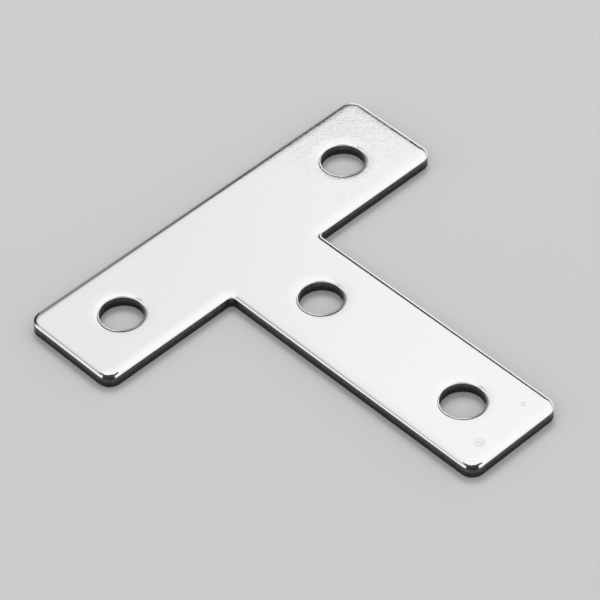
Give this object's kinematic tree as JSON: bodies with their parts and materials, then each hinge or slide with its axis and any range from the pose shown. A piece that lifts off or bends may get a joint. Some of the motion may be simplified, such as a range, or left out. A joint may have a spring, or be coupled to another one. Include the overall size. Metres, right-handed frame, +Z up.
{
  "type": "extrusion joining plate",
  "caption": "Flat T-shaped plate of plated sheet steel with round bolt holes along its crossbar and stem, for bolting slotted extrusions together at a tee.",
  "frame": {"origin": "where the crossbar's row of holes meets the stem's centre-line, on the flat underside", "axes": "+X along the crossbar, +Y from the stem's end towards the crossbar, +Z up through the sheet from the mating underside to the face the bolt heads sit on"},
  "size_m": [0.0594, 0.06, 0.002],
  "materials": {
    "bright_plating": "bright nickel plating on polished sheet steel"
  },
  "bodies": {
    "root": {"joining_plate": "bright_plating"}
  },
  "joints": []
}
